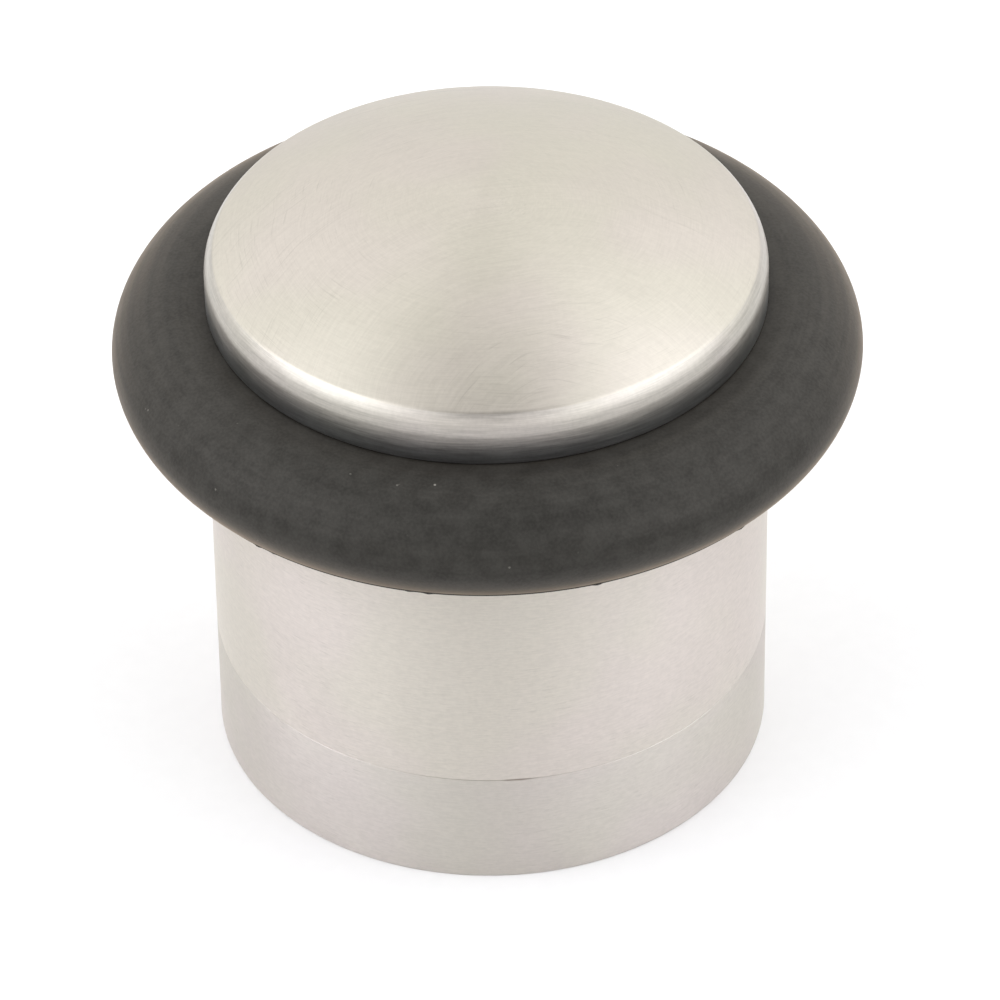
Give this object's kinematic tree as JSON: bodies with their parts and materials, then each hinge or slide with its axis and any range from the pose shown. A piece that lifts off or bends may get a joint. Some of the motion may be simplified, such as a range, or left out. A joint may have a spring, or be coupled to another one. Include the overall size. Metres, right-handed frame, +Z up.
{
  "type": "floor door stop",
  "caption": "Floor-mounted door stop: a satin steel cylinder on a screw-down base, with a shallow domed head and a protruding rubber buffer ring under it.",
  "frame": {"origin": "middle of the face that stands on the floor", "axes": "+Z up, along the axis that every piece is turned on"},
  "size_m": [0.0398, 0.0398, 0.034],
  "materials": {
    "base_steel": "satin",
    "sleeve_steel": "satin",
    "head_steel": "satin",
    "fastener_steel": "satin",
    "spring_steel": "satin",
    "buffer_rubber": "matte",
    "pad_rubber": "matte",
    "o_ring_rubber": "satin"
  },
  "bodies": {
    "base": {"base_disc": "base_steel", "base_pad": "pad_rubber"},
    "o_ring": {"lock_o_ring": "o_ring_rubber"},
    "body": {"body_sleeve": "sleeve_steel", "flat_washer": "fastener_steel", "spring_washer": "spring_steel", "clamp_screw": "fastener_steel", "domed_head": "head_steel"},
    "buffer": {"rubber_ring": "buffer_rubber"}
  },
  "joints": [
    {"name": "body_turn", "type": "hinge", "parent": "base", "child": "o_ring", "pos_m": [0, 0, 0.0079], "axis": [0, 0, 1], "range_deg": [0, 1512]},
    {"name": "body_lift", "type": "slide", "parent": "o_ring", "child": "body", "axis": [0, 0, 1], "range_m": [0, 0.006]},
    {"name": "buffer_turn", "type": "hinge", "parent": "body", "child": "buffer", "pos_m": [0, 0, 0.0248], "axis": [0, 0, 1], "continuous": true}
  ],
  "couplings": [
    {"joint": "body_turn", "follows": "body_lift", "rad_per_m": 4188.8}
  ]
}
